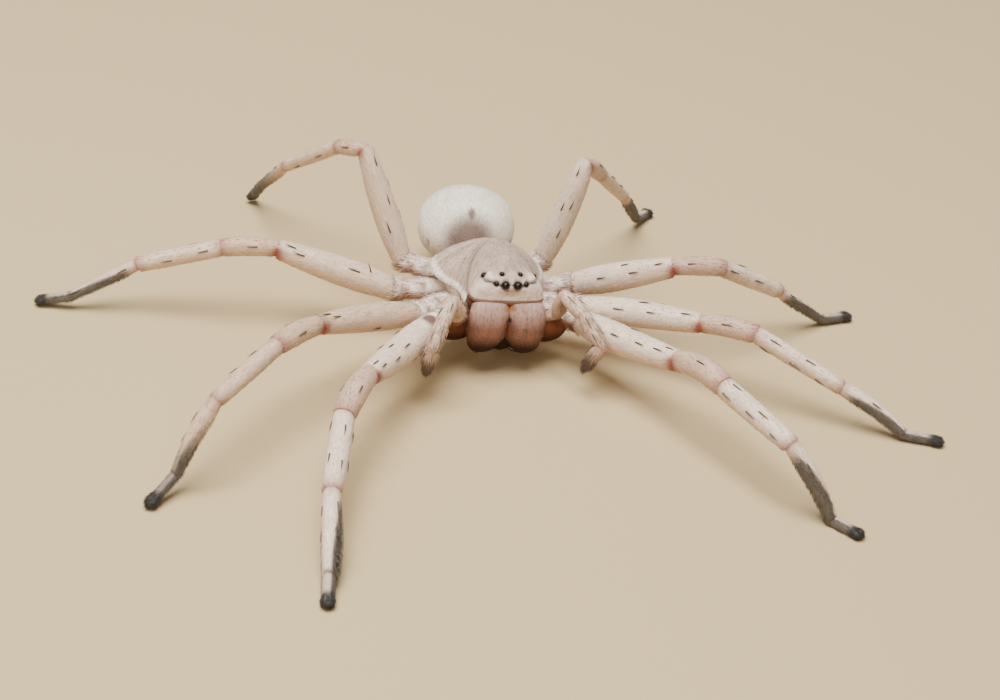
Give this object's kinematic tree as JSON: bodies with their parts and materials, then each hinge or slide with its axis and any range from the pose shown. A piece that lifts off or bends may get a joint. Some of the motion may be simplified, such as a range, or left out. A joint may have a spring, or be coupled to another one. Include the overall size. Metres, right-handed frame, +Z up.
{
  "type": "spider model",
  "caption": "Still, life-size model of a pale desert huntsman spider standing with raised knees, with its leg spines, jaws, fangs and eyes.",
  "frame": {"origin": "middle of the model's outline on the floor, at floor height", "axes": "-Y the way the spider faces, +X to its left, +Z up"},
  "size_m": [0.0784, 0.066, 0.0159],
  "materials": {
    "hair_cream": "short flat hair, matt",
    "carapace_beige": "short flat hair over a thin shell, matt",
    "chelicera_mauve": "thinly haired shell, satin",
    "abdomen_cream": "dense short hair, matt",
    "fang_black": "hard shell, glossy",
    "eye_black": "clear lens over black, glossy"
  },
  "bodies": {
    "root": {"abdomen": "abdomen_cream", "carapace": "carapace_beige", "chelicera_l": "chelicera_mauve", "chelicera_r": "chelicera_mauve", "eye_anterior_lateral_l": "eye_black", "eye_anterior_lateral_r": "eye_black", "eye_anterior_median_l": "eye_black", "eye_anterior_median_r": "eye_black", "eye_posterior_lateral_l": "eye_black", "eye_posterior_lateral_r": "eye_black", "eye_posterior_median_l": "eye_black", "eye_posterior_median_r": "eye_black", "fang_l": "fang_black", "fang_r": "fang_black", "leg_1_l_coxa": "hair_cream", "leg_1_l_femur": "hair_cream", "leg_1_l_foot": "hair_cream", "leg_1_l_patella": "hair_cream", "leg_1_l_tibia": "hair_cream", "leg_1_r_coxa": "hair_cream", "leg_1_r_femur": "hair_cream", "leg_1_r_foot": "hair_cream", "leg_1_r_patella": "hair_cream", "leg_1_r_tibia": "hair_cream", "leg_2_l_coxa": "hair_cream", "leg_2_l_femur": "hair_cream", "leg_2_l_foot": "hair_cream", "leg_2_l_patella": "hair_cream", "leg_2_l_tibia": "hair_cream", "leg_2_r_coxa": "hair_cream", "leg_2_r_femur": "hair_cream", "leg_2_r_foot": "hair_cream", "leg_2_r_patella": "hair_cream", "leg_2_r_tibia": "hair_cream", "leg_3_l_coxa": "hair_cream", "leg_3_l_femur": "hair_cream", "leg_3_l_foot": "hair_cream", "leg_3_l_patella": "hair_cream", "leg_3_l_tibia": "hair_cream", "leg_3_r_coxa": "hair_cream", "leg_3_r_femur": "hair_cream", "leg_3_r_foot": "hair_cream", "leg_3_r_patella": "hair_cream", "leg_3_r_tibia": "hair_cream", "leg_4_l_coxa": "hair_cream", "leg_4_l_femur": "hair_cream", "leg_4_l_foot": "hair_cream", "leg_4_l_patella": "hair_cream", "leg_4_l_tibia": "hair_cream", "leg_4_r_coxa": "hair_cream", "leg_4_r_femur": "hair_cream", "leg_4_r_foot": "hair_cream", "leg_4_r_patella": "hair_cream", "leg_4_r_tibia": "hair_cream", "palp_l_lower": "hair_cream", "palp_l_upper": "hair_cream", "palp_r_lower": "hair_cream", "palp_r_upper": "hair_cream", "spinnerets": "hair_cream", "sternum": "hair_cream"}
  },
  "joints": []
}
